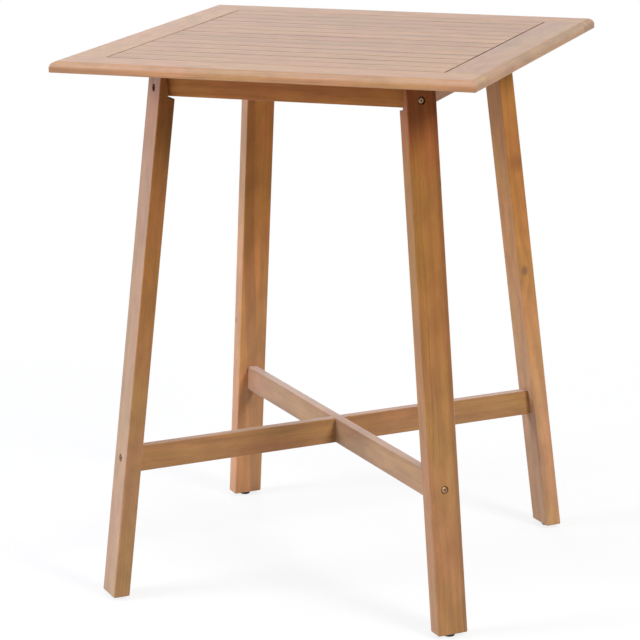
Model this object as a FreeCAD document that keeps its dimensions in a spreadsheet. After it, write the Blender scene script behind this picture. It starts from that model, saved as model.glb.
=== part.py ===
import FreeCAD, Part
import os
import Sketcher

# A square slatted bar table on four splayed legs, tied by a crossed stretcher.
# Millimetres, +Z up, origin on the floor under the middle of the top.
# X runs along the slats and Y from front to back.

Vector = FreeCAD.Vector
NEAR = 0.01

# Driving dimensions, in millimetres and degrees: name, size, meaning.
DIMENSIONS = (
    ("table_height", 1050, "floor to the top surface, with the feet screwed right in"),
    ("top_side", 816, "side of the square top"),
    ("top_thickness", 20, "thickness of every board of the top"),
    ("border_width", 80, "width of the rails and stiles round the slats"),
    ("edge_round", 12.5, "radius of the round-over on the upper rim of the top"),
    ("corner_round", 3, "radius of the upright corners of the top"),
    ("rim_arris", 1.5, "radius of the lower rim edges of the top"),
    ("seam_arris", 0.8, "radius of the upper board edges along the seams of the top"),
    ("slat_count", 13, "number of slats"),
    ("slat_gap", 2, "open seam beside each slat"),
    ("slat_end_gap", 2, "open seam between slat ends and stiles"),
    ("tenon_thickness", 8, "thickness of the slat tongues and stile tenons"),
    ("groove_depth", 10, "depth of the stile grooves that hold the slat tongues"),
    ("stile_tenon_length", 30, "reach of a stile tenon into its rail"),
    ("stile_tenon_width", 46, "width of a stile tenon"),
    ("joint_play", 0.3, "room left in grooves and mortises"),
    ("top_overhang", 140.5, "rim of the top to the outer faces of the aprons"),
    ("apron_height", 58, "height of the aprons and corner blocks"),
    ("apron_thickness", 20, "thickness of the aprons"),
    ("apron_arris", 1.5, "radius of the lower apron edges"),
    ("corner_wall", 5, "wood left between an inner apron corner and the flat cut for a leg"),
    ("block_depth", 45, "inner apron corner to the inner face of a corner block"),
    ("block_nose", 8, "inner apron corner to the flat nose of a corner block"),
    ("centre_batten_width", 50, "width of the batten under the middle of the slats"),
    ("side_batten_width", 30, "width of the battens beside the left and right aprons"),
    ("batten_height", 20, "height of the battens"),
    ("batten_end_gap", 5, "room between a side batten and the corner blocks"),
    ("leg_width", 60.5, "width of a leg across the diagonal"),
    ("leg_thickness", 32.5, "thickness of a leg, square to its wide faces"),
    ("leg_splay", 7.15, "lean of the legs along the diagonals, in degrees"),
    ("leg_tongue", 10.5, "thickness of the leg tongue at its very top"),
    ("shoulder_gap", 6, "room between the aprons and the leg shoulder"),
    ("leg_arris", 2.5, "radius of the leg edges"),
    ("stretcher_height", 50, "height of the stretchers"),
    ("stretcher_thickness", 20, "thickness of the stretchers"),
    ("stretcher_level", 272.5, "floor to mid-height of the stretchers"),
    ("stretcher_arris", 2, "radius of the long stretcher edges"),
    ("lap_play", 0.2, "room in the crossed halving joint"),
    ("bolt_diameter", 6, "shank of the furniture bolts"),
    ("bolt_head_diameter", 13, "head of the furniture bolts"),
    ("bolt_head_height", 3.2, "height of the bolt heads"),
    ("bolt_chamfer", 0.8, "chamfer round the bolt heads"),
    ("hex_key", 4, "width across the flats of the key socket"),
    ("hex_depth", 2, "depth of the key socket"),
    ("bolt_play", 0.3, "room round a bolt in its clear holes"),
    ("head_play", 1, "room round a bolt head in its recess"),
    ("head_recess_depth", 4, "depth of the recess, square to the leg face"),
    ("leg_bolt_inset", 14, "upper and lower apron edges to the bolts on the leg face"),
    ("leg_bolt_length", 40, "shank length of the bolts at the top of a leg"),
    ("stretcher_bolt_length", 44, "shank length of the bolts at the stretchers"),
    ("insert_diameter", 10, "outside of the threaded inserts"),
    ("insert_length", 15, "length of the threaded inserts"),
    ("hole_play", 0.1, "room round inserts and screws in their holes"),
    ("screw_diameter", 4, "shank of the wood screws"),
    ("screw_head_diameter", 8, "countersunk head of the wood screws"),
    ("screw_head_height", 2.5, "height of the countersunk head"),
    ("screw_point", 4, "length of the screw point"),
    ("screw_tip_diameter", 1, "blunt tip of the screw point"),
    ("slat_screw_length", 32, "screws up through the battens into the slats"),
    ("batten_screw_length", 42, "screws through the side battens into the aprons"),
    ("block_screw_length", 28, "screws through the corner blocks into the aprons"),
    ("block_screw_seat", 14, "wood left under the head of a corner block screw"),
    ("block_screw_inset", 42, "inner apron corner to a corner block screw"),
    ("pad_diameter", 20, "foot pad"),
    ("pad_height", 6.5, "height of a foot pad, floor to leg"),
    ("pad_arris", 1.2, "radius of the lower pad edge"),
    ("stem_diameter", 8, "threaded stem of a foot"),
    ("stem_reach", 24, "reach of the stem above its pad"),
    ("collar_diameter", 12, "collar that holds the stem in its pad"),
    ("collar_height", 2, "height of the collar"),
    ("collar_floor", 1.5, "pad material under the collar"),
    ("sleeve_diameter", 12, "outside of the threaded sleeve in the leg"),
    ("sleeve_length", 22, "length of the threaded sleeve"),
    ("thread_play", 0.05, "running room round the stem and its collar"),
    ("drill_over", 3, "how far drills start before a face or run past an end"),
)

doc = FreeCAD.newDocument("bar_table")
sheet = doc.addObject("Spreadsheet::Sheet", "dims")
for row, (alias, size, meaning) in enumerate(DIMENSIONS, start=1):
    sheet.set(f"A{row}", meaning)
    sheet.set(f"B{row}", str(size))
    sheet.setAlias(f"B{row}", alias)
doc.recompute()

# Derived places and sizes, as expressions on the sheet.
UNDERSIDE = "(dims.table_height - dims.top_thickness)"
HALF_SIDE = "(dims.top_side / 2)"
OPENING_HALF = f"({HALF_SIDE} - dims.border_width)"
SLAT_PITCH = f"((2 * {OPENING_HALF} - dims.slat_gap) / dims.slat_count)"
SLAT_WIDTH = f"({SLAT_PITCH} - dims.slat_gap)"
SLAT_HALF = f"({OPENING_HALF} - dims.slat_end_gap)"
TENON_BASE = f"({UNDERSIDE} + (dims.top_thickness - dims.tenon_thickness) / 2)"
APRON_BASE = f"({UNDERSIDE} - dims.apron_height)"
APRON_MIDDLE = f"({UNDERSIDE} - dims.apron_height / 2)"
APRON_OUTSIDE = f"({HALF_SIDE} - dims.top_overhang)"
APRON_INSIDE = f"({APRON_OUTSIDE} - dims.apron_thickness)"
INNER_CORNER = f"({APRON_INSIDE} * sqrt(2))"
CORNER_FLAT = f"({INNER_CORNER} + dims.corner_wall)"
FLAT_SUM = f"({CORNER_FLAT} * sqrt(2))"
BLOCK_NOSE = f"({INNER_CORNER} - dims.block_nose)"
BLOCK_WING = f"({APRON_INSIDE} - dims.block_depth * sqrt(2))"
BATTEN_BASE = f"({UNDERSIDE} - dims.batten_height)"
SIDE_BATTEN_HALF = f"({BLOCK_WING} - dims.batten_end_gap)"
SIDE_BATTEN_AXIS = f"({APRON_INSIDE} - dims.side_batten_width / 2)"
SHOULDER = f"({APRON_BASE} - dims.shoulder_gap)"
LEG_LEVEL = "(dims.leg_thickness / cos(dims.leg_splay))"
EDGE_ROUND = "min(dims.edge_round; dims.top_thickness - 2 * dims.rim_arris)"
BOLT_HOLE = "(dims.bolt_diameter + 2 * dims.bolt_play)"
HEAD_RECESS = "(dims.bolt_head_diameter + 2 * dims.head_play)"
INSERT_HOLE = "(dims.insert_diameter + 2 * dims.hole_play)"
SCREW_HOLE = "(dims.screw_diameter + 2 * dims.hole_play)"
SCREW_HEAD_HOLE = "(dims.screw_head_diameter + 2 * dims.hole_play)"


def leg_outside(level):
    """Reach of the outer leg face along the diagonal at a height."""
    return f"({CORNER_FLAT} + dims.leg_tongue + ({UNDERSIDE} - {level}) * tan(dims.leg_splay))"


def leg_inside(level):
    """Reach of the inner leg face along the diagonal at a height."""
    return f"({leg_outside(level)} - {LEG_LEVEL})"


FOOT_REACH = f"({leg_outside('dims.pad_height')} - {LEG_LEVEL} / 2)"
STRETCHER_BASE = "(dims.stretcher_level - dims.stretcher_height / 2)"
STRETCHER_TOP = "(dims.stretcher_level + dims.stretcher_height / 2)"
LOWER_BOLT = f"({APRON_BASE} + dims.leg_bolt_inset)"
UPPER_BOLT = f"({UNDERSIDE} - dims.leg_bolt_inset)"
STRETCHER_BOLT = "(dims.stretcher_level + dims.leg_thickness * sin(dims.leg_splay))"

# Turns about the upright axis that bring a piece from the front, or from +X, to each side and corner.
RIGHT_ANGLE = 90
SIDES = {side: RIGHT_ANGLE * step for step, side in enumerate(("front", "right", "back", "left"))}
CORNERS = {
    corner: RIGHT_ANGLE * step - RIGHT_ANGLE / 2
    for step, corner in enumerate(("front_right", "back_right", "back_left", "front_left"))
}
pieces = []


def value(expression):
    """The number an expression has now."""
    return float(sheet.evalExpression(expression))


def place(x="0", y="0", z="0", axis="0; 0; 1", angle="0"):
    """Expression for a placement."""
    return f"placement(vector({x}; {y}; {z}); rotation(vector({axis}); {angle}))"


def new_piece(label, turn=0):
    """An empty body for one sub-part, turned about the table's upright axis."""
    body = doc.addObject("PartDesign::Body", label)
    body.Label = label
    body.Placement = FreeCAD.Placement(Vector(), FreeCAD.Rotation(Vector(0, 0, 1), turn))
    pieces.append(body)
    return body


def origin_feature(body, role):
    """One of the body's own planes or axes."""
    return next(item for item in body.Origin.OriginFeatures if item.Role == role)


def outline(body, plane, corners, level="0"):
    """Straight-sided sketch whose corners are held by distances bound to the sheet."""
    sketch = body.newObject("Sketcher::SketchObject", "outline")
    sketch.AttachmentSupport = [(origin_feature(body, plane), "")]
    sketch.MapMode = "FlatFace"
    sketch.setExpression("AttachmentOffset.Base.z", level)
    spots = [Vector(value(x), value(y), 0) for x, y in corners]
    for index, spot in enumerate(spots):
        sketch.addGeometry(Part.LineSegment(spot, spots[(index + 1) % len(spots)]))
    for index in range(len(spots)):
        following = (index + 1) % len(spots)
        sketch.addConstraint(Sketcher.Constraint("Coincident", index, 2, following, 1))
    for index, corner in enumerate(corners):
        for kind, expression in zip(("DistanceX", "DistanceY"), corner):
            distance = Sketcher.Constraint(kind, -1, 1, index, 1, value(expression))
            number = sketch.addConstraint(distance)
            sketch.setExpression(f"Constraints[{number}]", expression)
    return sketch


def pad(body, sketch, length, symmetric=False):
    """Raise a sketch into a board."""
    feature = body.newObject("PartDesign::Pad", "board")
    feature.Profile = sketch
    feature.SideType = "Symmetric" if symmetric else "One side"
    feature.setExpression("Length", length)
    sketch.Visibility = False
    return feature


def rectangle(low_x, high_x, low_y, high_y):
    """Corners of a rectangle, anticlockwise."""
    return [(low_x, low_y), (high_x, low_y), (high_x, high_y), (low_x, high_y)]


def box(body, kind, low, size):
    """Add or cut a square-edged box, given its low corner and its size."""
    feature = body.newObject(f"PartDesign::{kind}Box", "box")
    for name, expression in zip(("Length", "Width", "Height"), size):
        feature.setExpression(name, expression)
    feature.setExpression("Placement", place(*low))
    return feature


def cylinder(body, kind, diameter, length, placement):
    """Add or cut a round bar that runs along +Z of its placement."""
    feature = body.newObject(f"PartDesign::{kind}Cylinder", "round")
    feature.setExpression("Radius", f"({diameter}) / 2")
    feature.setExpression("Height", length)
    feature.setExpression("Placement", placement)
    return feature


def cone(body, kind, start, end, length, placement):
    """Add or cut a cone between two diameters along +Z of its placement."""
    feature = body.newObject(f"PartDesign::{kind}Cone", "cone")
    feature.setExpression("Radius1", f"({start}) / 2")
    feature.setExpression("Radius2", f"({end}) / 2")
    feature.setExpression("Height", length)
    feature.setExpression("Placement", placement)
    return feature


def row_of(body, originals, pitch, count):
    """Repeat features along Y."""
    feature = body.newObject("PartDesign::LinearPattern", "row")
    feature.Originals = originals
    feature.Direction = (origin_feature(body, "Y_Axis"), [""])
    feature.setExpression("Length", f"{pitch} * {count - 1}")
    feature.Occurrences = count
    body.Tip = feature
    return feature


def soften(body, radius, chosen):
    """Round the edges of the body that a test picks."""
    doc.recompute()
    base = body.Tip
    edges = [f"Edge{index}" for index, edge in enumerate(base.Shape.Edges, start=1) if chosen(edge)]
    feature = body.newObject("PartDesign::Fillet", "arris")
    feature.Base = (base, edges)
    feature.setExpression("Radius", radius)
    return feature


def lies_at(edge, **levels):
    """True where both ends of an edge lie at the given coordinates."""
    ends = [vertex.Point for vertex in edge.Vertexes]
    return all(abs(getattr(end, axis) - level) < NEAR for end in ends for axis, level in levels.items())


# Bolt axes: square to the leg face, running inward and down.

def bolt_frame(level, depth, turn=0):
    """Placement on a bolt axis, a depth below the outer leg face, with +Z pointing inward."""
    face = place(leg_outside(level), "0", level, "0; 1; 0", "-(90 + dims.leg_splay)")
    return f"{place(angle=turn)} * {face} * {place(z=depth)}"


# The nose of a corner block stands this far down the bolt axis.
NOSE_DEPTHS = {
    level: f"(({leg_outside(level)} - {BLOCK_NOSE}) / cos(dims.leg_splay))"
    for level in (LOWER_BOLT, UPPER_BOLT)
}


def drill_bolts(body, levels, length, turn=0):
    """Clear holes along bolt axes, from outside the leg face."""
    for level in levels:
        start = bolt_frame(level, "-dims.drill_over", turn)
        cylinder(body, "Subtractive", BOLT_HOLE, f"{length} + dims.drill_over", start)


# Wood screws: countersunk head, shank and point along +Z of a frame at the head face.

def screw(body, frame, length):
    """One wood screw, as three joined features."""
    point = f"({length} - dims.screw_point)"
    return [
        cone(body, "Additive", "dims.screw_head_diameter", "dims.screw_diameter",
             "dims.screw_head_height", frame),
        cylinder(body, "Additive", "dims.screw_diameter",
                 f"{point} - dims.screw_head_height",
                 f"{frame} * {place(z='dims.screw_head_height')}"),
        cone(body, "Additive", "dims.screw_diameter", "dims.screw_tip_diameter",
             "dims.screw_point", f"{frame} * {place(z=point)}"),
    ]


def screw_hole(body, frame, length):
    """Shank hole of a wood screw."""
    return cylinder(body, "Subtractive", SCREW_HOLE, f"{length} + dims.hole_play", frame)


def countersink(body, frame):
    """Seat for a countersunk head."""
    return cone(body, "Subtractive", SCREW_HEAD_HOLE, SCREW_HOLE, "dims.screw_head_height", frame)


def slat_level(index):
    """Middle of a slat, front to back."""
    return f"({SLAT_PITCH} * ({index} - (dims.slat_count - 1) / 2))"


def slats_over(half_length):
    """Numbers of the slats whose screws find wood in a batten of this half length."""
    margin = value("dims.screw_head_diameter")
    count = int(value("dims.slat_count"))
    return [i for i in range(count) if abs(value(slat_level(i))) < value(half_length) - margin]


BATTENS = {
    "left_batten": (f"(-{SIDE_BATTEN_AXIS})", "dims.side_batten_width", SIDE_BATTEN_HALF),
    "centre_batten": ("0", "dims.centre_batten_width", APRON_INSIDE),
    "right_batten": (SIDE_BATTEN_AXIS, "dims.side_batten_width", SIDE_BATTEN_HALF),
}


def upward(x, y):
    """Frame of a screw driven up from the face of a batten."""
    return place(x, y, BATTEN_BASE)


# The top.

def make_rail(label, turn):
    """Front or back rail, full width, with a mortise at each end for a stile."""
    body = new_piece(label, turn)
    inside = f"(-{OPENING_HALF})"
    corners = rectangle(f"(-{HALF_SIDE})", HALF_SIDE, f"(-{HALF_SIDE})", inside)
    pad(body, outline(body, "XY_Plane", corners, UNDERSIDE), "dims.top_thickness")
    half, top, base = value(HALF_SIDE), value("dims.table_height"), value(UNDERSIDE)
    outer = ({"y": -half}, {"x": -half}, {"x": half})
    soften(body, EDGE_ROUND,
           lambda edge: any(lies_at(edge, z=top, **side) for side in outer))
    soften(body, "dims.corner_round", lambda edge: is_corner_ridge(edge, half, base))
    soften(body, "dims.rim_arris", lambda edge: is_lower_rim(edge, half, base))
    soften(body, "dims.seam_arris", lambda edge: lies_at(edge, y=value(inside), z=top))
    width = "(dims.stile_tenon_width + dims.joint_play)"
    height = "(dims.tenon_thickness + dims.joint_play)"
    depth = "(dims.stile_tenon_length + dims.joint_play)"
    for side in ("-1", "1"):
        middle = f"{side} * ({HALF_SIDE} - dims.border_width / 2)"
        low = (f"{middle} - {width} / 2", f"{inside} - {depth}",
               f"{TENON_BASE} - dims.joint_play / 2")
        box(body, "Subtractive", low, (width, depth, height))


def is_corner_ridge(edge, half, base):
    """True for the upright corner edges of a rail and the mitre lines that carry on from them."""
    middle = edge.CenterOfMass
    on_diagonal = abs(abs(middle.x) - abs(middle.y)) < NEAR
    return on_diagonal and middle.z > base + NEAR and abs(middle.x) > half - value(EDGE_ROUND)


def is_lower_rim(edge, half, base):
    """True for the lower edges of a rail on the rim of the top."""
    spots = [vertex.Point for vertex in edge.Vertexes]
    rim = half - value("dims.corner_round") - NEAR
    low = all(abs(spot.z - base) < NEAR for spot in spots)
    return low and (all(spot.y < -rim for spot in spots) or all(abs(spot.x) > rim for spot in spots))


def make_stile(label, turn):
    """Left or right stile, between the rails, tenoned at both ends and grooved for the slats."""
    body = new_piece(label, turn)
    inside = f"(-{OPENING_HALF})"
    corners = rectangle(f"(-{HALF_SIDE})", inside, f"(-{OPENING_HALF})", OPENING_HALF)
    pad(body, outline(body, "XY_Plane", corners, UNDERSIDE), "dims.top_thickness")
    half, top, base = value(HALF_SIDE), value("dims.table_height"), value(UNDERSIDE)
    soften(body, EDGE_ROUND, lambda edge: lies_at(edge, x=-half, z=top))
    soften(body, "dims.rim_arris", lambda edge: lies_at(edge, x=-half, z=base))
    soften(body, "dims.seam_arris", lambda edge: lies_at(edge, x=value(inside), z=top))
    middle = f"({HALF_SIDE} - dims.border_width / 2)"
    reach = f"({OPENING_HALF} + dims.stile_tenon_length)"
    for start in (f"-{reach}", OPENING_HALF):
        low = (f"-{middle} - dims.stile_tenon_width / 2", start, TENON_BASE)
        box(body, "Additive", low,
            ("dims.stile_tenon_width", "dims.stile_tenon_length", "dims.tenon_thickness"))
    low = (f"{inside} - dims.groove_depth", f"-{OPENING_HALF}",
           f"{TENON_BASE} - dims.joint_play / 2")
    box(body, "Subtractive", low,
        ("dims.groove_depth", f"2 * {OPENING_HALF}", "dims.tenon_thickness + dims.joint_play"))


def make_slat(index):
    """One slat, with a tongue at each end and pilot holes for the batten screws."""
    body = new_piece(f"top_slat_{index + 1:02d}")
    body.setExpression("Placement.Base.y", slat_level(index))
    half = f"({SLAT_WIDTH} / 2)"
    corners = rectangle(f"(-{SLAT_HALF})", SLAT_HALF, f"(-{half})", half)
    pad(body, outline(body, "XY_Plane", corners, UNDERSIDE), "dims.top_thickness")
    soften(body, "dims.seam_arris", lambda edge: lies_at(edge, z=value("dims.table_height")))
    tongue = "(dims.slat_end_gap + dims.groove_depth - dims.joint_play)"
    for start in (f"-{SLAT_HALF} - {tongue}", SLAT_HALF):
        box(body, "Additive", (start, f"-{half}", TENON_BASE),
            (tongue, SLAT_WIDTH, "dims.tenon_thickness"))
    for x, width, half_length in BATTENS.values():
        if index in slats_over(half_length):
            screw_hole(body, upward(x, "0"), "dims.slat_screw_length")


def make_batten(label):
    """One batten under the slats, drilled for its screws."""
    x, width, half_length = BATTENS[label]
    body = new_piece(label)
    corners = rectangle(f"({x} - {width} / 2)", f"({x} + {width} / 2)",
                        f"(-{half_length})", half_length)
    pad(body, outline(body, "XY_Plane", corners, BATTEN_BASE), "dims.batten_height")
    base = value(BATTEN_BASE)
    soften(body, "dims.rim_arris", lambda edge: lies_at(edge, z=base) and edge.BoundBox.YLength > NEAR)
    screwed = slats_over(half_length)
    frame = upward(x, slat_level(screwed[0]))
    holes = [screw_hole(body, frame, "dims.slat_screw_length"), countersink(body, frame)]
    row_of(body, holes, SLAT_PITCH, len(screwed))
    if label != "centre_batten":
        for frame in batten_screw_frames(label):
            screw_hole(body, frame, "dims.batten_screw_length")
            countersink(body, frame)


def batten_screw_frames(label):
    """Frames of the level screws from a side batten into its apron, midway between slat screws."""
    side = "-1" if label == "left_batten" else "1"
    face = f"{side} * ({APRON_INSIDE} - dims.side_batten_width)"
    level = f"{BATTEN_BASE} + dims.batten_height / 2"
    screwed = slats_over(SIDE_BATTEN_HALF)
    return [
        place(face, f"{slat_level(index)} + {SLAT_PITCH} / 2", level, "0; 1; 0", f"{side} * 90")
        for index in (screwed[0], screwed[-2])
    ]


# The frame under the top.

def block_screw_frame(side):
    """Frame of a corner block screw that runs forward into the front apron."""
    x = f"{side} * ({APRON_INSIDE} - dims.block_screw_inset)"
    y = f"-({APRON_INSIDE} - dims.block_screw_seat)"
    return place(x, y, APRON_MIDDLE, "1; 0; 0", "90")


def make_apron(label, turn):
    """One apron: mitred behind, its corners cut flat where the legs are bolted on."""
    body = new_piece(label, turn)
    face = f"(-{APRON_OUTSIDE})"
    end = f"({FLAT_SUM} - {APRON_OUTSIDE})"
    mitre = f"({FLAT_SUM} / 2)"
    corners = [
        (f"(-{end})", face), (end, face), (mitre, f"(-{mitre})"),
        (APRON_INSIDE, f"(-{APRON_INSIDE})"), (f"(-{APRON_INSIDE})", f"(-{APRON_INSIDE})"),
        (f"(-{mitre})", f"(-{mitre})"),
    ]
    pad(body, outline(body, "XY_Plane", corners, APRON_BASE), "dims.apron_height")
    base = value(APRON_BASE)
    faces = (value(face), -value(APRON_INSIDE))
    soften(body, "dims.apron_arris",
           lambda edge: any(lies_at(edge, y=level, z=base) for level in faces))
    for corner in ("front_right", "front_left"):
        drill_bolts(body, (LOWER_BOLT, UPPER_BOLT), "dims.leg_bolt_length", CORNERS[corner])
    for side in ("-1", "1"):
        screw_hole(body, block_screw_frame(side), "dims.block_screw_length")
    if label in ("left_apron", "right_apron"):
        batten = label.replace("apron", "batten")
        for frame in batten_screw_frames(batten):
            screw_hole(body, f"{place(angle=-turn)} * {frame}", "dims.batten_screw_length")


def make_corner_block(corner, turn):
    """Block behind one apron corner: threaded inserts for the leg bolts, screws into both aprons."""
    body = new_piece(f"corner_block_{corner}", turn)
    back = f"({INNER_CORNER} - dims.block_depth)"
    corners = [
        (back, "(-dims.block_depth)"), (BLOCK_NOSE, "(-dims.block_nose)"),
        (BLOCK_NOSE, "dims.block_nose"), (back, "dims.block_depth"),
    ]
    pad(body, outline(body, "XY_Plane", corners, APRON_BASE), "dims.apron_height")
    drill_bolts(body, (LOWER_BOLT, UPPER_BOLT),
                "dims.head_recess_depth + dims.leg_bolt_length + dims.drill_over")
    for level, depth in NOSE_DEPTHS.items():
        start = bolt_frame(level, f"{depth} - dims.drill_over")
        cylinder(body, "Subtractive", INSERT_HOLE, "dims.insert_length + dims.drill_over", start)
    # The front apron's right-hand screw and the right apron's front one, seen from this corner.
    for side, angle in (("1", "45"), ("-1", "135")):
        frame = f"{place(angle=angle)} * {block_screw_frame(side)}"
        screw_hole(body, frame, "dims.block_screw_length")
        recess = f"{frame} * {place(z='-dims.block_depth')}"
        cylinder(body, "Subtractive", SCREW_HEAD_HOLE, "dims.block_depth", recess)
        countersink(body, frame)


# Legs and stretchers.

def make_leg(corner, turn):
    """One splayed leg, rabbeted at the top to sit against the flat apron corner."""
    body = new_piece(f"leg_{corner}", turn)
    low = "dims.pad_height"
    corners = [
        (leg_inside(low), low), (leg_outside(low), low), (leg_outside(UNDERSIDE), UNDERSIDE),
        (CORNER_FLAT, UNDERSIDE), (CORNER_FLAT, SHOULDER),
        (leg_inside(SHOULDER), SHOULDER),
    ]
    pad(body, outline(body, "XZ_Plane", corners), "dims.leg_width", symmetric=True)
    floor, flat = value(low), value(CORNER_FLAT)
    soften(body, "dims.leg_arris", lambda edge: is_leg_arris(edge, floor, flat))
    for level in (LOWER_BOLT, UPPER_BOLT, STRETCHER_BOLT):
        start = bolt_frame(level, "-dims.drill_over")
        cylinder(body, "Subtractive", HEAD_RECESS, "dims.head_recess_depth + dims.drill_over", start)
        cylinder(body, "Subtractive", BOLT_HOLE, "dims.leg_thickness + 2 * dims.drill_over", start)
    foot = place(FOOT_REACH, "0", f"{low} - dims.drill_over")
    cylinder(body, "Subtractive", "dims.sleeve_diameter + 2 * dims.hole_play",
             "dims.sleeve_length + dims.drill_over", foot)
    cylinder(body, "Subtractive", "dims.stem_diameter + 2 * dims.hole_play",
             "dims.stem_reach + 2 * dims.drill_over", foot)


def is_leg_arris(edge, floor, flat):
    """True for the long edges of a leg and the edges of its foot."""
    spots = [vertex.Point for vertex in edge.Vertexes]
    if all(abs(spot.z - floor) < NEAR for spot in spots):
        return True
    across = edge.BoundBox.YLength > NEAR
    on_rabbet = all(abs(spot.x - flat) < NEAR for spot in spots)
    return not across and not on_rabbet and edge.BoundBox.ZLength > NEAR


def make_stretcher(label, turn, notch_base):
    """One stretcher between opposite legs, halved where it crosses the other."""
    body = new_piece(label, turn)
    ends = [(leg_inside(level), level) for level in (STRETCHER_BASE, STRETCHER_TOP)]
    corners = [(f"(-{ends[0][0]})", ends[0][1]), *ends, (f"(-{ends[1][0]})", ends[1][1])]
    pad(body, outline(body, "XZ_Plane", corners), "dims.stretcher_thickness", symmetric=True)
    shortest = value(leg_inside(STRETCHER_TOP))
    soften(body, "dims.stretcher_arris", lambda edge: edge.BoundBox.XLength > shortest)
    width = "(dims.stretcher_thickness + dims.lap_play)"
    box(body, "Subtractive", (f"-{width} / 2", f"-{width}", notch_base),
        (width, f"2 * {width}", "dims.stretcher_height / 2"))
    for end in ("0", "180"):
        start = bolt_frame(STRETCHER_BOLT, "dims.leg_thickness - dims.drill_over", end)
        cylinder(body, "Subtractive", INSERT_HOLE, "dims.insert_length + dims.drill_over", start)
        cylinder(body, "Subtractive", BOLT_HOLE,
                 "dims.stretcher_bolt_length - dims.leg_thickness + dims.head_recess_depth"
                 " + 2 * dims.drill_over", start)


# Hardware.

def make_bolts(label, levels, length):
    """Furniture bolts with key sockets, a set at each corner."""
    body = new_piece(label)
    body.AllowCompound = True
    plain = "(dims.bolt_head_height - dims.bolt_chamfer)"
    for turn in CORNERS.values():
        for level in levels:
            seat = bolt_frame(level, "dims.head_recess_depth", turn)
            rim = f"{seat} * {place(z=f'-{plain}')}"
            crown = f"{seat} * {place(z='-dims.bolt_head_height')}"
            cylinder(body, "Additive", "dims.bolt_diameter", length, seat)
            cylinder(body, "Additive", "dims.bolt_head_diameter", plain, rim)
            cone(body, "Additive", "dims.bolt_head_diameter - 2 * dims.bolt_chamfer",
                 "dims.bolt_head_diameter", "dims.bolt_chamfer", crown)
            socket = body.newObject("PartDesign::SubtractivePrism", "socket")
            socket.Polygon = 6
            socket.setExpression("Circumradius", "dims.hex_key / sqrt(3)")
            socket.setExpression("Height", "dims.hex_depth")
            socket.setExpression("Placement", crown)


def make_inserts(label, depths):
    """Threaded inserts down the bolt axes, a set at each corner."""
    body = new_piece(label)
    body.AllowCompound = True
    for turn in CORNERS.values():
        for level, depth in depths.items():
            frame = bolt_frame(level, depth, turn)
            cylinder(body, "Additive", "dims.insert_diameter", "dims.insert_length", frame)
            cylinder(body, "Subtractive", "dims.bolt_diameter + 2 * dims.thread_play",
                     "dims.insert_length", frame)


def make_slat_screws():
    """Screws up through the battens, one into each slat above."""
    body = new_piece("slat_screws")
    body.AllowCompound = True
    for x, width, half_length in BATTENS.values():
        screwed = slats_over(half_length)
        features = screw(body, upward(x, slat_level(screwed[0])), "dims.slat_screw_length")
        row_of(body, features, SLAT_PITCH, len(screwed))


def make_batten_screws():
    """Screws from the side battens into the left and right aprons."""
    body = new_piece("batten_screws")
    body.AllowCompound = True
    for label in ("left_batten", "right_batten"):
        for frame in batten_screw_frames(label):
            screw(body, frame, "dims.batten_screw_length")


def make_block_screws():
    """Screws from the corner blocks into the aprons."""
    body = new_piece("corner_block_screws")
    body.AllowCompound = True
    for turn in SIDES.values():
        for side in ("-1", "1"):
            frame = f"{place(angle=turn)} * {block_screw_frame(side)}"
            screw(body, frame, "dims.block_screw_length")


def foot_frame(level, turn=0):
    """Placement on the upright axis of a foot."""
    return f"{place(angle=turn)} * {place(FOOT_REACH, '0', level)}"


def make_sleeves():
    """Threaded sleeves in the leg ends, for the feet."""
    body = new_piece("foot_sleeves")
    body.AllowCompound = True
    for turn in CORNERS.values():
        frame = foot_frame("dims.pad_height", turn)
        cylinder(body, "Additive", "dims.sleeve_diameter", "dims.sleeve_length", frame)
        cylinder(body, "Subtractive", "dims.stem_diameter + 2 * dims.thread_play",
                 "dims.sleeve_length", frame)


def make_foot(corner, turn):
    """Pad and threaded stem of one foot: the stem turns in the pad, held by its collar."""
    body = new_piece(f"foot_pad_{corner}", turn)
    cylinder(body, "Additive", "dims.pad_diameter", "dims.pad_height", foot_frame("0"))
    soften(body, "dims.pad_arris", lambda edge: lies_at(edge, z=0))
    play = "2 * dims.thread_play"
    floor = foot_frame("dims.collar_floor - dims.thread_play")
    cylinder(body, "Subtractive", f"dims.collar_diameter + {play}", f"dims.collar_height + {play}", floor)
    cylinder(body, "Subtractive", f"dims.stem_diameter + {play}", "dims.pad_height", floor)

    stem = new_piece(f"foot_stem_{corner}", turn)
    cylinder(stem, "Additive", "dims.collar_diameter", "dims.collar_height",
             foot_frame("dims.collar_floor"))
    cylinder(stem, "Additive", "dims.stem_diameter",
             "dims.pad_height + dims.stem_reach - dims.collar_floor",
             foot_frame("dims.collar_floor"))


make_rail("top_front_rail", 0)
make_rail("top_back_rail", 2 * RIGHT_ANGLE)
make_stile("top_left_stile", 0)
make_stile("top_right_stile", 2 * RIGHT_ANGLE)
for number in range(int(value("dims.slat_count"))):
    make_slat(number)
for name in BATTENS:
    make_batten(name)
for name, turn in SIDES.items():
    make_apron(f"{name}_apron", turn)
for name, turn in CORNERS.items():
    make_corner_block(name, turn)
    make_leg(name, turn)
    make_foot(name, turn)
make_stretcher("stretcher_upper_lap", CORNERS["front_right"], STRETCHER_BASE)
make_stretcher("stretcher_lower_lap", CORNERS["back_right"], "dims.stretcher_level")
make_bolts("leg_bolts", (LOWER_BOLT, UPPER_BOLT), "dims.leg_bolt_length")
make_bolts("stretcher_bolts", (STRETCHER_BOLT,), "dims.stretcher_bolt_length")
make_inserts("leg_bolt_inserts", NOSE_DEPTHS)
make_inserts("stretcher_bolt_inserts", {STRETCHER_BOLT: "dims.leg_thickness"})
make_slat_screws()
make_batten_screws()
make_block_screws()
make_sleeves()
doc.recompute()

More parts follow.
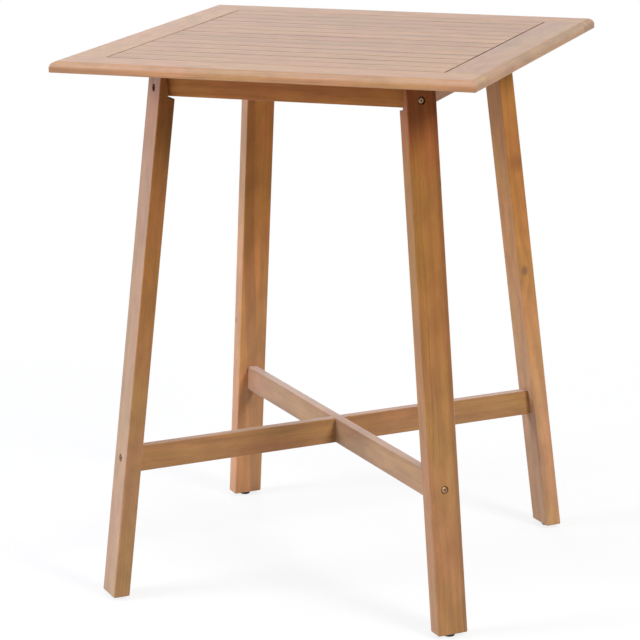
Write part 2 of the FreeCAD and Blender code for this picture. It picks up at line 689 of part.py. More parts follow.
for item in doc.Objects:
    if "Invalid" in item.State or "Error" in item.State:
        raise RuntimeError(f"{item.Label} failed: {item.State}")
os.makedirs("parts", exist_ok=True)
for piece in pieces:
    if piece.Shape.isNull() or not piece.Shape.isValid():
        raise RuntimeError(f"{piece.Label} has no valid shape")
for piece in pieces:
    piece.Shape.exportStep(f"parts/{piece.Label}.step")
    print(piece.Label, len(piece.Shape.Solids), round(piece.Shape.Volume, 1))
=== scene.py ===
"""Looks of a slatted bar table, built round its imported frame. Metres, +Z up, +X along the slats."""

import math
import random
from functools import partial

import bmesh
import bpy
import numpy as np
from bpy.props import FloatProperty, FloatVectorProperty, IntProperty, PointerProperty
from bpy.types import NodeSocket, Operator, Panel, PropertyGroup
from mathutils import Matrix, Vector


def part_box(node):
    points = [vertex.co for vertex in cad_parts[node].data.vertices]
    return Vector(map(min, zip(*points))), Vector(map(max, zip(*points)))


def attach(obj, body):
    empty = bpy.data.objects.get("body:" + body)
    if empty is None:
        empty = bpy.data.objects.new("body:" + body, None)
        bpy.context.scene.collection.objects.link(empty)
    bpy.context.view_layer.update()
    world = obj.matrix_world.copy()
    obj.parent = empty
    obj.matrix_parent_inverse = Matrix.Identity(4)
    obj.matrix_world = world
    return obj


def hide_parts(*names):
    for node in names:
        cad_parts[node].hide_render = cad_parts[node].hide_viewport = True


bl_info = {
    "name": "Slatted Bar Table",
    "version": (1, 0, 0),
    "blender": (4, 5, 0),
    "location": "View3D > Sidebar > Bar Table",
    "description": "Dresses a slatted bar table in oiled hardwood, zinc steel and black plastic",
    "category": "Object",
}

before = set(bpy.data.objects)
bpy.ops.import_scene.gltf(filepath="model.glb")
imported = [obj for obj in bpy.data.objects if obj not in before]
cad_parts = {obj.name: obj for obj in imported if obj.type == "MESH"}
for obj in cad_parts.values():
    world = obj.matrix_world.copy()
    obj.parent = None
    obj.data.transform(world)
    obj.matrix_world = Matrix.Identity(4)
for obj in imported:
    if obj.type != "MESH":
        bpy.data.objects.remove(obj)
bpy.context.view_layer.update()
SLATS = sorted(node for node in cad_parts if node.startswith("top_slat_"))

MM = 0.001
MERGE = 0.002 * MM
FAR_AWAY = 9.0
NOWHERE = (FAR_AWAY, FAR_AWAY, FAR_AWAY)
X, Y, Z = (1, 0, 0), (0, 1, 0), (0, 0, 1)
WHITE = (1, 1, 1, 1)
SENSOR = 36
LEG_SPLAY = math.radians(7.15)
SHARP = math.radians(38)

# Signs of x and y at the four corners.
CORNERS = {
    "front_right": (1, -1),
    "back_right": (1, 1),
    "back_left": (-1, 1),
    "front_left": (-1, -1),
}

# Knots: along, across and through a board from its middle, with None the way the branch runs, and size.
KNOTS = {
    "leg_front_right": (0.319, -0.0305, None, 1.0),
    "leg_back_right": (0.039, None, -0.008, 1.3),
    "leg_back_left": (-0.12, None, 0.004, 0.8),
    "left_apron": (0.11, 0.008, None, 1.0),
}

# Dark bands, heartwood on the front right leg and back apron: where they cross a board's middle, their
# slope, and half their width.
BANDS = {
    # On the back left leg, a dark band down the left part of its face.
    "leg_back_left": (-0.009, -0.04, 0.011),
    "leg_front_right": (-0.0255, 0.0, 0.0035),
    "back_apron": (0.004, 0.03, 0.006),
}

# Stains: along, across and through a board from its middle.
STAINS = {"leg_back_right": (0.262, 0.03, -0.002)}

# Boards with a painted pale sheen on the side that looks to the front left, and how far.
PAINTED_SIDE_SHEEN = {"leg_front_left": 0.63, "leg_back_left": 0.36}
SHEEN_SIDE = (-0.7071, -0.7071, 0.0)

# Painted light and shade on the inner face of some boards: how much paler or darker it is under the top
# and low down.
PAINTED_INSIDE_LIGHT = {"leg_back_left": (0.5, 0.0), "leg_back_right": (0.12, -0.1)}

# Boards with a tone, a paleness low down and a painted warm shade under the top of their own.
TINTS = {
    "leg_front_right": (0.95, 0.3, 0.3),
    "leg_back_right": (1.28, 0.5, 0.0),
    # The back left leg's high tone is partly painted light that lifts it out of the shade under the
    # top.
    "leg_back_left": (1.33, 0.34, 0.08),
    "leg_front_left": (0.93, 0.44, 0.2),
    "stretcher_upper_lap": (0.95, 0.5, 0.0),
    "stretcher_lower_lap": (0.97, 0.35, 0.0),
    "front_apron": (1.27, 0.0, 0.07),
    # The right apron's high tone and warmth are painted light on a part that lies in shade.
    "right_apron": (1.7, 0.3, 0.18),
    # The right stile's extra paleness is partly painted grazing sheen.
    "top_right_stile": (0.97, 0.66, 0.0),
}
BORDER_TONE = 1.1
FRAME_PAINTED_WARM_SHADE = 0.06

# Figure of the wood: waves per metre along and across the fibres, detail, roughness, and range shown.
FIGURE = {
    "streaks": (4.0, 190.0, 4.0, 0.65, 0.54, 0.78),
    "fibres": (14.0, 640.0, 3.0, 0.6, 0.3, 0.72),
    "pores": (70.0, 1500.0, 1.0, 0.5, 0.62, 0.74),
    "drift": (5.0, 14.0, 3.0, 0.5, 0.34, 0.66),
    "mottle": (17.0, 40.0, 2.0, 0.5, 0.3, 0.7),
    "veins": (1.4, 26.0, 2.0, 0.5, 0.56, 0.72),
}

# How far each part of the figure colours the wood.
RING_SHARE, FIBRE_SHARE, PORE_SHARE, VEIN_SHARE = 0.34, 0.26, 0.45, 0.4
STREAK_SHARE = {"top_wood": 0.6, "frame_wood": 0.42}

# Crowns of the bolts: how deep they lie in their holes.
BOLT_CROWNS = {"leg_bolts": 1.3 * MM, "stretcher_bolts": 0.2 * MM}

# Profiles of the feet: radius and level in millimetres.
PAD_INSIDE = ((6.05, 1.45), (6.05, 3.55), (4.05, 3.55), (4.05, 6.5),
              (9.3, 6.5), (9.8, 6.3), (10.0, 5.8))
PAD_FLUTED = ((10.0, 5.5), (10.0, 2.3))
PAD_SOLE = ((10.0, 1.9), (10.0, 1.2), (9.65, 0.35), (8.8, 0.0))
STEM_COLLAR = ((6.0, 1.5), (6.0, 3.5), (3.4, 3.5), (3.4, 5.0))
STEM_TIP = ((2.9, 30.5),)

# Lamps: place, size, tint, and whether gloss mirrors them.
LAMPS = {
    "key": ((4.85, -2.5, 4.17), 2.0, (1, 1, 1), True),
    "fill": ((-3.6, -2.6, 1.9), 2.0, (0.94, 1.02, 1.28), False),
    "back": ((-2.6, 4.4, 2.2), 2.4, (1, 1, 1), False),
}


def middle(node):
    """Middle of a frame node's box."""
    low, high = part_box(node)
    return (low + high) / 2


# Settings that a user would change, by kind.

ColourProperty = partial(FloatVectorProperty, subtype="COLOR", size=3, min=0, max=1)
ShareProperty = partial(FloatProperty, subtype="FACTOR", min=0, max=1)
LengthProperty = partial(FloatProperty, subtype="DISTANCE", unit="LENGTH", min=0)
AngleProperty = partial(FloatProperty, subtype="ANGLE", unit="ROTATION")
PowerProperty = partial(FloatProperty, subtype="POWER", unit="POWER", min=0)


class WoodSettings(PropertyGroup):
    """Colours and figure of the oiled hardwood."""

    early: ColourProperty(
        name="Early wood", description="Pale golden wood between the grain lines",
        default=(0.475, 0.222, 0.046))
    blush: ColourProperty(
        name="Blush", description="Pinkish wood that drifts through the boards",
        default=(0.49, 0.196, 0.056))
    late: ColourProperty(
        name="Late wood", description="Darker wood of the grain lines", default=(0.315, 0.122, 0.03))
    heart: ColourProperty(
        name="Heartwood", description="Brown of streaks and heartwood bands",
        default=(0.215, 0.082, 0.032))
    knot: ColourProperty(name="Knot", description="Core of a knot", default=(0.1, 0.052, 0.04))
    # The same paleness is added for bleaching and as painted sheen.
    bleach: ColourProperty(
        name="Bleach", description="Paleness that full bleaching adds to the wood",
        default=(0.07, 0.13, 0.145))
    frame_bleaching: ShareProperty(
        name="Frame bleaching", description="How far the frame is bleached", default=0.15)
    top_bleaching: ShareProperty(
        name="Top bleaching", description="How far the top is bleached", default=0.55)
    ring_density: FloatProperty(
        name="Ring density", description="Grain lines per metre across the rings",
        min=20, max=800, default=150)
    roughness: ShareProperty(
        name="Roughness", description="Roughness of the oiled surface", default=0.4)
    frame_sheen: ShareProperty(
        name="Frame sheen", description="Soft pale sheen of the frame", default=0.85)
    top_sheen: ShareProperty(name="Top sheen", description="Soft pale sheen of the top", default=0.22)
    seed: IntProperty(name="Seed", description="Picks where each board is cut", default=7)


class SlatSettings(PropertyGroup):
    """Sizes of the slats that the frame doesn't give."""

    arris: LengthProperty(name="Arris", description="Radius of the slat edges", default=0.6 * MM)
    tongue: LengthProperty(
        name="Tongue", description="Reach of a slat's tongue past its end", default=12.5 * MM)
    tongue_thickness: LengthProperty(
        name="Tongue thickness", description="Thickness of a slat's tongue", default=8 * MM)
    opening: LengthProperty(
        name="Opening", description="Half the side of the opening that the slats fill",
        default=328 * MM)
    unevenness: LengthProperty(
        name="Unevenness", description="How far a slat may lie below its neighbours",
        default=0.25 * MM)
    seed: IntProperty(name="Seed", description="Picks tone and grain of each slat", default=3)


class HardwareSettings(PropertyGroup):
    """Finish and small sizes of bolts, screws and feet."""

    steel: ColourProperty(
        name="Steel", description="Dull brassy zinc plating", default=(0.4, 0.26, 0.155))
    plastic: ColourProperty(
        name="Plastic", description="Black moulded plastic", default=(0.018, 0.018, 0.02))
    key: LengthProperty(
        name="Key", description="Width across the flats of the bolt sockets", default=4.6 * MM)
    pitch: LengthProperty(
        name="Thread pitch", description="Pitch of the foot stems", default=1.25 * MM)
    seed: IntProperty(name="Seed", description="Picks how far each fastener is turned", default=11)


class StageSettings(PropertyGroup):
    """Camera, light and floor."""

    target: FloatVectorProperty(
        name="Target", description="Point at the middle of the picture",
        subtype="TRANSLATION", unit="LENGTH", size=3, default=(-0.0320, -0.0080, 0.49422))
    distance: LengthProperty(name="Distance", description="Camera to target", default=5.2946)
    azimuth: AngleProperty(
        name="Azimuth", description="Camera to the right of the front", default=0.3542)
    elevation: AngleProperty(name="Elevation", description="Camera above the level", default=0.2502)
    roll: AngleProperty(name="Roll", description="Turn of the camera about its view", default=-0.0126)
    lens: FloatProperty(
        name="Lens", description="Focal length on a 36 mm sensor, in millimetres",
        min=1, default=151.51)
    ambient: FloatProperty(
        name="Ambient", description="Strength of the white surroundings overhead", min=0, default=0.75)
    key: PowerProperty(name="Key", description="Power of the lamp at the right", default=228)
    fill: PowerProperty(name="Fill", description="Power of the soft lamp at the left", default=150)
    back: PowerProperty(name="Back", description="Power of the weak lamp behind", default=50)
    floor: ColourProperty(
        name="Floor", description="Colour of the pale floor", default=(0.45, 0.45, 0.45))
    floor_size: LengthProperty(name="Floor size", description="Side of the square floor", default=60)


class TableSettings(PropertyGroup):
    """All settings of the table."""

    wood: PointerProperty(type=WoodSettings)
    slats: PointerProperty(type=SlatSettings)
    hardware: PointerProperty(type=HardwareSettings)
    stage: PointerProperty(type=StageSettings)


def settings():
    """The settings of this scene."""
    return bpy.context.scene.bar_table


# Node trees.

class Net:
    """Shorthand for filling one node tree."""

    def __init__(self, tree):
        self.tree = tree

    def node(self, kind, inputs=None, **traits):
        """Add a node, set its traits and feed its inputs with values or sockets."""
        made = self.tree.nodes.new(kind)
        for name, trait in traits.items():
            setattr(made, name, trait)
        for name, feed in (inputs or {}).items():
            if isinstance(feed, NodeSocket):
                self.tree.links.new(feed, made.inputs[name])
            else:
                made.inputs[name].default_value = feed
        return made

    def first(self, kind, inputs=None, **traits):
        """Add a node and take its first output."""
        return self.node(kind, inputs, **traits).outputs[0]

    def math(self, operation, *feeds):
        """A number worked out from one to three others."""
        return self.first("ShaderNodeMath", dict(enumerate(feeds)), operation=operation)

    def times(self, one, other):
        """The product of two numbers."""
        return self.math("MULTIPLY", one, other)

    def vector(self, operation, *feeds):
        """A vector worked out from others."""
        made = self.node("ShaderNodeVectorMath", dict(enumerate(feeds)), operation=operation)
        return made.outputs["Value" if operation in ("LENGTH", "DOT_PRODUCT") else "Vector"]

    def combine(self, **parts):
        """A vector from its X, Y and Z, or 0 where one isn't given."""
        return self.first("ShaderNodeCombineXYZ", parts)

    def part(self, vector, axis):
        """One of a vector's three numbers."""
        return self.node("ShaderNodeSeparateXYZ", {"Vector": vector}).outputs[axis]

    def stretch(self, feed, low, high, start=0.0, end=1.0):
        """Carry a number smoothly from one range to another."""
        return self.first(
            "ShaderNodeMapRange",
            {"Value": feed, "From Min": low, "From Max": high, "To Min": start, "To Max": end},
            interpolation_type="SMOOTHSTEP")

    def noise(self, place, scale, detail=2.0, rough=0.5):
        """Noise of a place stretched by a scale for each axis."""
        scaled = self.vector("MULTIPLY", place, scale)
        return self.first("ShaderNodeTexNoise", {
            "Vector": scaled, "Scale": 1.0, "Detail": detail, "Roughness": rough})

    def blend(self, share, first, second, how="MIX"):
        """Mix two colours."""
        feeds = {0: share, 6: first, 7: second}
        return self.node("ShaderNodeMix", feeds, data_type="RGBA", blend_type=how).outputs[2]

    def attribute(self, name, output="Fac"):
        """A value that is kept on the mesh under a name."""
        return self.node("ShaderNodeAttribute", attribute_name=name).outputs[output]

    def place(self):
        """Where on the table the surface is."""
        return self.node("ShaderNodeTexCoord").outputs["Object"]

    def normal(self):
        """The way the surface looks."""
        return self.node("ShaderNodeNewGeometry").outputs["Normal"]

    def coat(self, relief, strength, depth, sockets):
        """End a material in one shader that follows a fine relief."""
        bump = self.first("ShaderNodeBump", {"Strength": strength, "Distance": depth, "Height": relief})
        shader = self.first("ShaderNodeBsdfPrincipled", {**sockets, "Normal": bump})
        self.node("ShaderNodeOutputMaterial", {"Surface": shader})


def new_material(name):
    """An empty node material with its net."""
    material = bpy.data.materials.new(name)
    material.use_nodes = True
    material.node_tree.nodes.clear()
    return material, Net(material.node_tree)


def colour(setting):
    """A colour setting with full opacity."""
    return (*setting, 1.0)


# Oiled hardwood.

def hardwood(slot):
    """Oiled hardwood, solid through each board: its figure, its tone and paleness with painted light
    and shade, and a soft sheen.
    """
    name = f"oiled_{slot}"
    found = bpy.data.materials.get(name)
    if found:
        return found
    wood = settings().wood
    on_top = slot == "top_wood"
    material, net = new_material(name)
    place = net.attribute("grain", "Vector")
    wander = net.noise(place, (1.6, 8.0, 8.0), 3.0, 0.55)
    figure = {part: drawn_out(net, place, *row) for part, row in FIGURE.items()}
    figure["rings"] = growth_rings(net, place, wander, wood.ring_density)
    figure["heart"] = heartwood(net, figure["veins"], wander, on_top)
    tone, bleach, ruddy = tone_and_painted_light(net, on_top)
    fresh = fresh_colour(net, figure, slot)
    paled = net.blend(bleach, fresh, colour(wood.bleach), "ADD")
    shade = shaded(net, place, figure["mottle"], tone, ruddy, on_top)

    # Roughness and relief follow the fibres.
    spread = 0.1
    rough = net.math("MULTIPLY_ADD", figure["fibres"], spread, wood.roughness - spread / 2)
    raised = net.math("MULTIPLY_ADD", figure["rings"], 0.3, figure["fibres"])
    relief = net.math("SUBTRACT", raised, figure["pores"])
    net.coat(relief, 0.2, 0.12 * MM, {
        "Base Color": net.blend(1.0, paled, shade, "MULTIPLY"), "Roughness": rough,
        "IOR": 1.45, "Specular IOR Level": 0.15,
        "Sheen Weight": wood.top_sheen if on_top else wood.frame_sheen,
        "Sheen Roughness": 0.38, "Sheen Tint": (1.0, 0.95, 0.92, 1.0)})
    return material


def drawn_out(net, place, along, across, detail, rough, low, high):
    """Noise drawn out along the fibres, as 0 to 1 over the range shown."""
    return net.stretch(net.noise(place, (along, across, across), detail, rough), low, high)


def mark_distance(net, mark, squeeze):
    """Distance from a mark, squeezed along the fibres so that the mark is long."""
    away = net.attribute(mark, "Vector")
    return net.vector("LENGTH", net.vector("MULTIPLY", away, (squeeze, 1.0, 1.0)))


def growth_rings(net, place, wander, density):
    """Grain lines of the growth rings, which wander slowly along a board and part round a knot."""
    centred = net.vector("SUBTRACT", wander.node.outputs["Color"], (0.5, 0.5, 0.5))
    sway = net.vector("MULTIPLY", centred, (0.0, 0.04, 0.04))
    swirl = net.stretch(mark_distance(net, "knot", 0.45), 0.03, 0.0, 0.0, 0.01)
    across = net.vector("MULTIPLY", net.vector("ADD", place, sway), (0.0, 1.0, 1.0))
    reach = net.math("ADD", net.vector("LENGTH", across), swirl)
    noise = net.first(
        "ShaderNodeTexNoise", {"W": reach, "Scale": density, "Detail": 4.0, "Roughness": 0.62},
        noise_dimensions="1D")
    return net.stretch(noise, 0.32, 0.72)


def heartwood(net, veins, wander, on_top):
    """How far the wood is brown: chance veins, bands that bend with the grain, and stains."""
    bend = net.math("SUBTRACT", wander, 0.5)
    bent = net.math("MULTIPLY_ADD", bend, 2.4, net.attribute("band"))
    banded = net.stretch(net.math("ABSOLUTE", bent), 1.25, 0.75, 0.0, 0.5)
    heart = net.math("MAXIMUM", net.times(veins, VEIN_SHARE), banded)
    if on_top:
        return heart
    stained = net.stretch(mark_distance(net, "stain", 0.8), 0.024, 0.004, 0.0, 0.55)
    return net.math("MAXIMUM", heart, stained)


def fresh_colour(net, figure, slot):
    """Colour before ageing: pale wood, blush, heartwood, grain lines, streaks, knots and pores."""
    wood = settings().wood
    brown = colour(wood.heart)
    pale = net.blend(figure["drift"], colour(wood.early), colour(wood.blush))
    hearted = net.blend(figure["heart"], pale, brown)
    fibres = net.times(figure["fibres"], FIBRE_SHARE)
    lines = net.math("MULTIPLY_ADD", figure["rings"], RING_SHARE, fibres)
    lined = net.blend(lines, hearted, colour(wood.late))
    streaks = net.times(figure["streaks"], STREAK_SHARE[slot])
    streaked = net.blend(streaks, lined, brown)
    core = net.stretch(mark_distance(net, "knot", 0.68), 0.0076, 0.002, 0.0, 0.6)
    knotted = net.blend(core, streaked, colour(wood.knot))
    return net.blend(net.times(figure["pores"], PORE_SHARE), knotted, brown)


def tone_and_painted_light(net, on_top):
    """Tone, paleness and painted warm shade of the wood where it sits on the table, with painted light,
    shade and sheen by height, side and rim.
    """
    tone, bleach, ruddy = (net.attribute(mark) for mark in ("tone", "bleach", "ruddy"))
    if on_top:
        return tone, rim_wear_and_sheen(net, bleach), ruddy
    tone, bleach, ruddy = by_height_with_painted_light(net, tone, bleach, ruddy)
    return tone, net.math("MAXIMUM", bleach, painted_side_sheen(net)), ruddy


def rim_wear_and_sheen(net, bleach):
    """Paleness of the top: bleaching, with wear and painted sheen that make its round-over paler, and
    less paleness painted on its upright sides.
    """
    upward = net.part(net.normal(), "Z")
    wear_and_sheen = net.stretch(upward, 0.05, 0.5, -0.15, 0.35)
    rim = net.stretch(upward, 0.99, 0.8)
    return net.math("ADD", bleach, net.times(wear_and_sheen, rim))


def by_height_with_painted_light(net, tone, bleach, ruddy):
    """Frame wood by its height: painted shade near the top and painted light low down, paler low down,
    painted warm shade under the top, and painted light on the inner faces of some boards.
    """
    place = net.place()
    height = net.part(place, "Z")
    towards_floor = net.stretch(height, 0.95, 0.2)
    under_top = net.stretch(height, 0.8, 0.97)
    outward = net.vector("NORMALIZE", net.vector("MULTIPLY", place, (1.0, 1.0, 0.0)))
    facing = net.vector("DOT_PRODUCT", net.normal(), outward)
    inner = net.stretch(facing, -0.85, -0.97)
    # Painted light on the inner faces: paler under the top, where the shade falls.
    high, low = net.attribute("inside_high"), net.attribute("inside_low")
    inside = net.math("MULTIPLY_ADD", towards_floor, net.math("SUBTRACT", low, high), high)
    tone = net.times(tone, net.math("MULTIPLY_ADD", inner, inside, 1.0))
    # Painted shade darkens the wood near the top and painted light brightens it low down; the wood is
    # also paler low down.
    return (
        net.times(tone, net.math("MULTIPLY_ADD", towards_floor, 0.2, 0.9)),
        net.times(bleach, net.math("POWER", towards_floor, 2.0)),
        net.times(ruddy, under_top))


def painted_side_sheen(net):
    """Painted pale sheen on the faces that look to the front left."""
    facing = net.stretch(net.vector("DOT_PRODUCT", net.normal(), SHEEN_SIDE), 0.85, 0.97)
    return net.times(facing, net.attribute("sun"))


def gap_shade_and_dirt(net, place, on_top):
    """Painted shade with dirt in seams and holes: in patches on the top, and on the frame more of it up
    under the top, where the shade falls.
    """
    if on_top:
        return net.stretch(net.noise(place, (3.0, 0.0, 0.0)), 0.35, 0.65, 0.1, 0.85)
    return net.stretch(net.part(net.place(), "Z"), 0.5, 0.9, 0.3, 0.82)


def shaded(net, place, mottle, tone, ruddy, on_top):
    """Brightness of the wood: board tone, mottle, darker end grain, painted shade with dirt in seams
    and holes, and painted warm shade under the top.
    """
    fibre = net.attribute("fibre", "Vector")
    along = net.math("ABSOLUTE", net.vector("DOT_PRODUCT", net.normal(), fibre))
    ends = net.stretch(along, 0.75, 0.97, 1.0, 0.8)
    # Painted shade with dirt darkens the walls of seams and holes.
    shade_and_dirt = net.times(net.attribute("seam"), gap_shade_and_dirt(net, place, on_top))
    unshaded = net.math("SUBTRACT", 1.0, shade_and_dirt)
    darkened = net.times(net.times(ends, unshaded), tone)
    shade = net.times(darkened, net.math("MULTIPLY_ADD", mottle, 0.16, 0.92))
    # Painted warm shade: green and blue drop where the wood sits in shade under the top.
    dulled = net.times(shade, net.math("SUBTRACT", 1.0, ruddy))
    return net.first("ShaderNodeCombineColor", {"Red": shade, "Green": dulled, "Blue": dulled})


# Steel and plastic.

def speckled(name, first, second, waves, detail, blur, rough, relief, metallic):
    """A finish that fine noise varies between two colours and two roughnesses."""
    found = bpy.data.materials.get(name)
    if found:
        return found
    material, net = new_material(name)
    speckle = net.noise(net.place(), (waves, waves, waves), detail)
    share = net.stretch(speckle, 0.5 - blur, 0.5 + blur)
    net.coat(speckle, relief, 0.05 * MM, {
        "Base Color": net.blend(share, colour(first), colour(second)),
        "Roughness": net.stretch(speckle, 0.3, 0.7, *rough), "Metallic": metallic})
    return material


def zinc_steel():
    """Dull plated steel, slightly mottled."""
    steel = Vector(settings().hardware.steel)
    return speckled("zinc_steel", steel * 0.72, steel, waves=900.0, detail=3.0, blur=0.2,
                    rough=(0.3, 0.46), relief=0.1, metallic=1.0)


def black_plastic():
    """Black moulded plastic with a fine texture."""
    plastic = Vector(settings().hardware.plastic)
    return speckled("black_plastic", plastic, plastic * 1.7, waves=2500.0, detail=2.0, blur=0.15,
                    rough=(0.42, 0.58), relief=0.2, metallic=0.0)


# Meshes.

def link(name, data):
    """A new piece, lamp or camera at the origin."""
    made = bpy.data.objects.new(name, data)
    bpy.context.scene.collection.objects.link(made)
    return made


def evaluated_mesh(piece):
    """A plain mesh of a piece with its modifiers applied."""
    depsgraph = bpy.context.evaluated_depsgraph_get()
    return bpy.data.meshes.new_from_object(
        piece.evaluated_get(depsgraph), preserve_all_data_layers=True, depsgraph=depsgraph)


def crisp(piece):
    """Shade a piece smoothly over its small arrises, and flat on its flat faces."""
    piece.data.shade_smooth()
    piece.data.set_sharp_from_angle(angle=SHARP)
    weighted = piece.modifiers.new("weighted", "WEIGHTED_NORMAL")
    weighted.keep_sharp = True
    shaded_mesh = evaluated_mesh(piece)
    piece.modifiers.clear()
    shaded_mesh.name = piece.name
    piece.data = shaded_mesh
    return piece


def merged_copy(node):
    """A copy of a frame node's mesh with its loose triangles joined."""
    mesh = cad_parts[node].data.copy()
    work = bmesh.new()
    work.from_mesh(mesh)
    bmesh.ops.remove_doubles(work, verts=work.verts, dist=MERGE)
    work.to_mesh(mesh)
    work.free()
    return mesh


def positions(mesh):
    """Vertex positions of a mesh as rows."""
    flat = np.empty(len(mesh.vertices) * 3, np.float32)
    mesh.vertices.foreach_get("co", flat)
    return flat.reshape(-1, 3).astype(float)


def store(mesh, name, rows, domain="POINT"):
    """Keep a number or a vector for each vertex or face under a name."""
    rows = np.asarray(rows, np.float32)
    kind, field = ("FLOAT", "value") if rows.ndim == 1 else ("FLOAT_VECTOR", "vector")
    mesh.attributes.new(name, kind, domain).data.foreach_set(field, rows.ravel())


def lay_grain(mesh, centre, along, wide, cut):
    """Give a board its run of grain: along the fibres, across the face, and through the thickness."""
    along = Vector(along).normalized()
    through = along.cross(Vector(wide)).normalized()
    axes = np.array([along, through.cross(along), through])
    rows = (positions(mesh) - np.array(centre)) @ axes.T
    *spot, size = cut["knot"]
    branch = np.array([axis is not None for axis in spot], float)
    knot = np.array([axis or 0.0 for axis in spot])
    start, slope, half = cut["band"]
    marks = {
        "grain": rows + np.array(cut["shift"]),
        "knot": (rows - knot) * branch / size,
        "band": (rows[:, 1] - start - slope * rows[:, 0]) / half,
        "fibre": np.tile(np.array(along), (len(rows), 1)),
        "stain": rows - np.array(cut["stain"]),
    }
    # Tone, paleness, painted warm shade, painted side sheen and painted inside light of the board.
    levels = ("tone", "bleach", "ruddy", "sun", "inside_high", "inside_low")
    for name, level in zip(levels, (*cut["tint"], cut["sun"], *cut["inside"])):
        marks[name] = np.full(len(rows), level)
    for name, values in marks.items():
        store(mesh, name, values)


def cut_of(name, slot):
    """Where a board was sawn from its log, what marks it has, how dark and pale it is, and the painted
    light and sheen on its faces.
    """
    draw = random.Random(f"{settings().wood.seed} {name}")
    side = draw.choice((-1, 1)) * math.radians(draw.uniform(25, 65))
    pith = draw.uniform(0.05, 0.12)
    return {
        "shift": (draw.uniform(0, 40), pith * math.cos(side), pith * math.sin(side)),
        "tint": TINTS.get(name, plain_tint(slot, draw.uniform(0.95, 1.05))),
        "knot": KNOTS.get(name, (*NOWHERE, 1.0)),
        "band": BANDS.get(name, (FAR_AWAY, 0.0, 1.0)),
        "stain": STAINS.get(name, NOWHERE),
        "sun": PAINTED_SIDE_SHEEN.get(name, 0.0),
        "inside": PAINTED_INSIDE_LIGHT.get(name, (0.0, 0.0)),
    }


def plain_tint(slot, tone):
    """Tone, paleness and painted warm shade of a board with none of its own. The border is the paler
    wood.
    """
    wood = settings().wood
    if slot == "top_wood":
        return tone * BORDER_TONE, wood.top_bleaching, 0.0
    return tone, wood.frame_bleaching, FRAME_PAINTED_WARM_SHADE


def mark_seam(mesh, axis, level):
    """Mark the walls of a board at a level along an axis, where they face a seam and get painted shade
    with dirt.
    """
    near = 0.05 * MM
    store(mesh, "seam", np.abs(np.abs(positions(mesh)[:, axis]) - level) < near)


def mark_holes(mesh, spots):
    """Mark the walls of the holes that fasteners sit in, which get painted shade with dirt."""
    beside, steep = 1.3, 0.5
    centres = np.array([face.center for face in mesh.polygons])
    normals = np.array([face.normal for face in mesh.polygons])
    marks = np.zeros(len(centres), bool)
    for head, axis, _, radius in spots:
        out = centres - head
        aside = np.linalg.norm(out - np.outer(out @ axis, axis), axis=1)
        marks |= (aside < radius * beside) & (np.abs(normals @ axis) < steep)
    store(mesh, "seam", marks, "FACE")


def board(node, along, wide, slot="frame_wood", seam=None, holes=None):
    """Stand a grained copy of a CAD board in the place of its node."""
    mesh = merged_copy(node)
    lay_grain(mesh, middle(node), along, wide, cut_of(node, slot))
    if seam:
        mark_seam(mesh, *seam)
    if holes:
        mark_holes(mesh, holes)
    mesh.materials.clear()
    mesh.materials.append(hardwood(slot))
    piece = crisp(link(f"{node}_board", mesh))
    return hand_over(piece, "table", slot, node)


def hand_over(piece, body, slot, *nodes):
    """Hang a piece on the body it rides on and hide the frame nodes it stands for. What it is made of,
    slot, is not used.
    """
    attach(piece, body)
    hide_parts(*nodes)
    return piece


def around(level, count, reach_at):
    """Points round the Z axis at a level, each as far out as its angle asks."""
    points = []
    for step in range(count):
        angle = 2 * math.pi * step / count
        reach = reach_at(angle)
        points.append((reach * math.cos(angle), reach * math.sin(angle), level))
    return points


def ring(radius, level, count=48, waves=0, depth=0.0):
    """A ring of points, with waves cut into its radius."""
    return around(level, count, lambda angle: radius - depth * (1 - math.cos(waves * angle)) / 2)


def hex_ring(flats, level, count=48):
    """Points round a hexagon of a width across its flats."""
    sector = math.pi / 3
    return around(level, count, lambda angle: flats / 2 / math.cos(angle % sector - sector / 2))


def turned(profile, **traits):
    """Rings through a profile of radii and levels in millimetres."""
    return [ring(radius * MM, level * MM, **traits) for radius, level in profile]


def loft(name, rings):
    """A closed mesh through rings of points, capped at both ends."""
    work = bmesh.new()
    loops = [[work.verts.new(point) for point in row] for row in rings]
    for near, far in zip(loops, loops[1:]):
        for index in range(len(near)):
            following = (index + 1) % len(near)
            work.faces.new((near[index], near[following], far[following], far[index]))
    work.faces.new(loops[0])
    work.faces.new(loops[-1])
    bmesh.ops.recalc_face_normals(work, faces=work.faces)
    mesh = bpy.data.meshes.new(name)
    work.to_mesh(mesh)
    work.free()
    return mesh


# Geometry node trees.

def geometry_tree(name, inputs):
    """The net of a geometry tree with named inputs, and the sockets that give them."""
    tree = bpy.data.node_groups.new(name, "GeometryNodeTree")
    tree.interface.new_socket("Geometry", in_out="INPUT", socket_type="NodeSocketGeometry")
    for label, kind in inputs.items():
        tree.interface.new_socket(label, in_out="INPUT", socket_type=f"NodeSocket{kind}")
    tree.interface.new_socket("Geometry", in_out="OUTPUT", socket_type="NodeSocketGeometry")
    net = Net(tree)
    return net, net.node("NodeGroupInput").outputs


def finished_tree(net, geometry, material):
    """A tree that ends in a geometry of one material."""
    coated = net.first("GeometryNodeSetMaterial", {"Geometry": geometry, "Material": material})
    net.node("NodeGroupOutput", {"Geometry": coated})
    return net.tree


def grow(name, mesh, tree, feeds):
    """Run a tree on a mesh and keep the result as a plain piece."""
    piece = link(name, mesh)
    modifier = piece.modifiers.new("grow", "NODES")
    modifier.node_group = tree
    for item in tree.interface.items_tree:
        if item.item_type == "SOCKET" and item.in_out == "INPUT" and item.name in feeds:
            modifier[item.identifier] = feeds[item.name]
    grown = evaluated_mesh(piece)
    piece.modifiers.clear()
    piece.data = grown
    while grown.materials[0] is None:
        grown.materials.pop(index=0)
    return crisp(piece)


